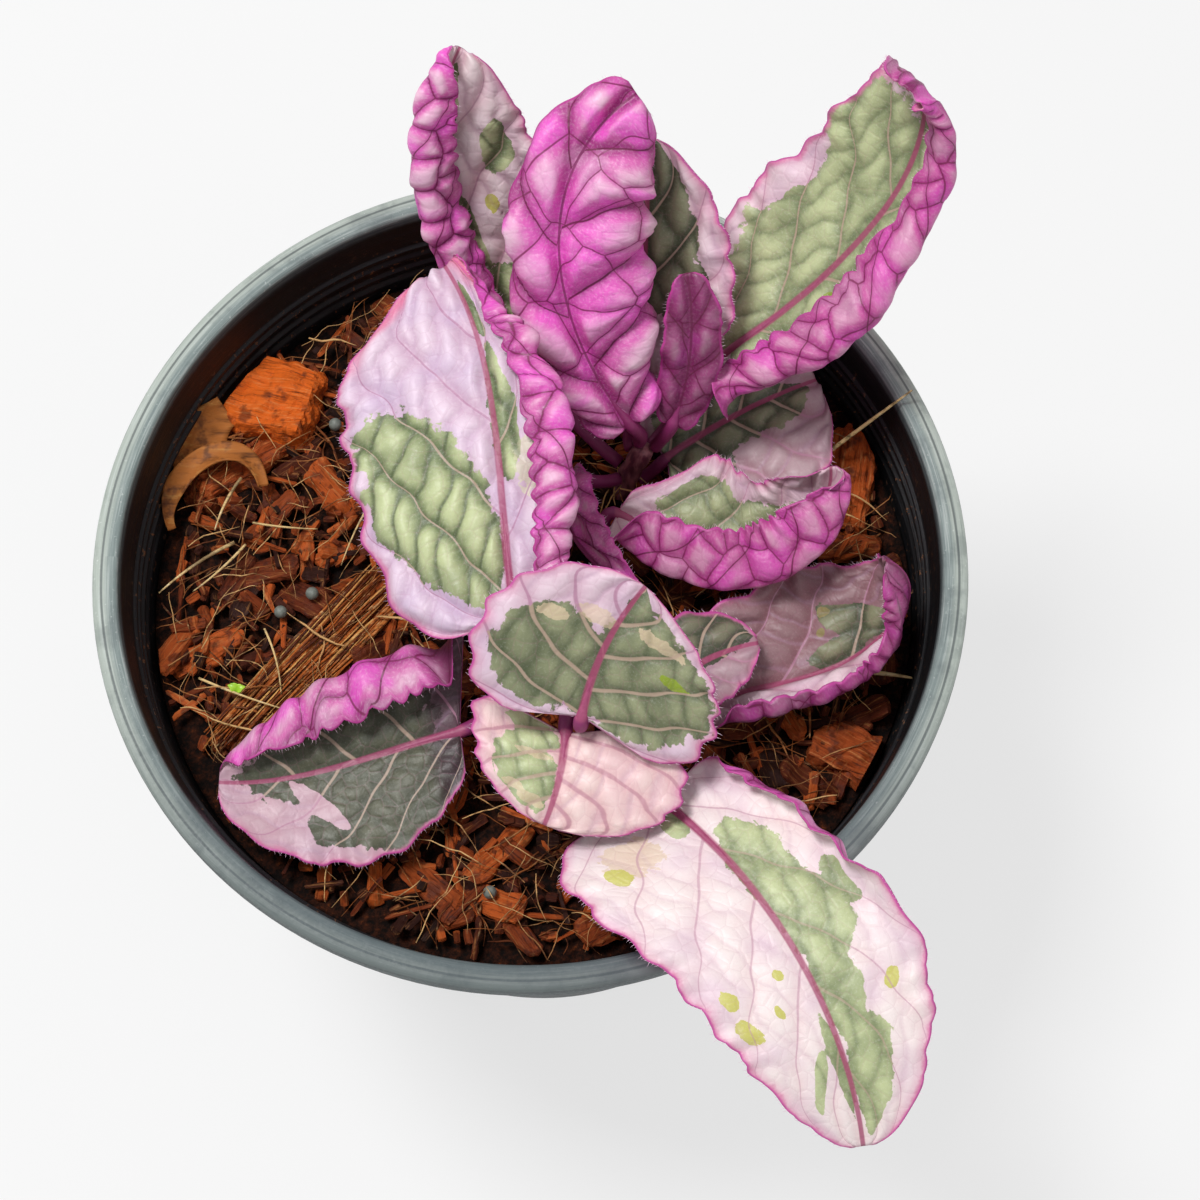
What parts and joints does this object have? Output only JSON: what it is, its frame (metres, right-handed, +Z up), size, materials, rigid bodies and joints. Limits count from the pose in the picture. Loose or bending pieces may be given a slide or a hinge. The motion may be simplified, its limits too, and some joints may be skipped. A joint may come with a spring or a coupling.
{
  "type": "potted purple waffle plant",
  "caption": "Small plant with puckered, variegated green, pink and purple leaves on short stems, in a round plastic nursery pot filled with coco-husk potting mix.",
  "frame": {"origin": "centre of the pot's flat bottom, on the surface it stands on", "axes": "+Z up along the pot's axis; -Y towards the viewer in the picture, where the long leaf hangs out; +X to the viewer's right"},
  "size_m": [0.15, 0.1753, 0.1749],
  "materials": {
    "pot_plastic": "grey-black moulded plastic, dusty on the lip and glossy inside",
    "potting_mix": "damp orange-brown coco husk chips and fibres, rough",
    "stem_skin": "pinkish brown, slightly hairy",
    "leaf_blade": "sage green and pale pink above, magenta to purple below, satin, puckered between the veins"
  },
  "bodies": {
    "root": {"pot": "pot_plastic", "potting_mix": "potting_mix", "stem_back": "stem_skin", "stem_front": "stem_skin", "leaf_back_left": "leaf_blade", "leaf_erect": "leaf_blade", "leaf_behind_erect": "leaf_blade", "leaf_back_right": "leaf_blade", "leaf_large_left": "leaf_blade", "leaf_small_curled": "leaf_blade", "leaf_low_right": "leaf_blade", "leaf_boat": "leaf_blade", "leaf_right_cup": "leaf_blade", "leaf_crown": "leaf_blade", "leaf_crown_front": "leaf_blade", "leaf_front_long": "leaf_blade", "leaf_front_left": "leaf_blade", "leaf_crinkled": "leaf_blade", "leaf_crown_right": "leaf_blade"}
  },
  "joints": []
}
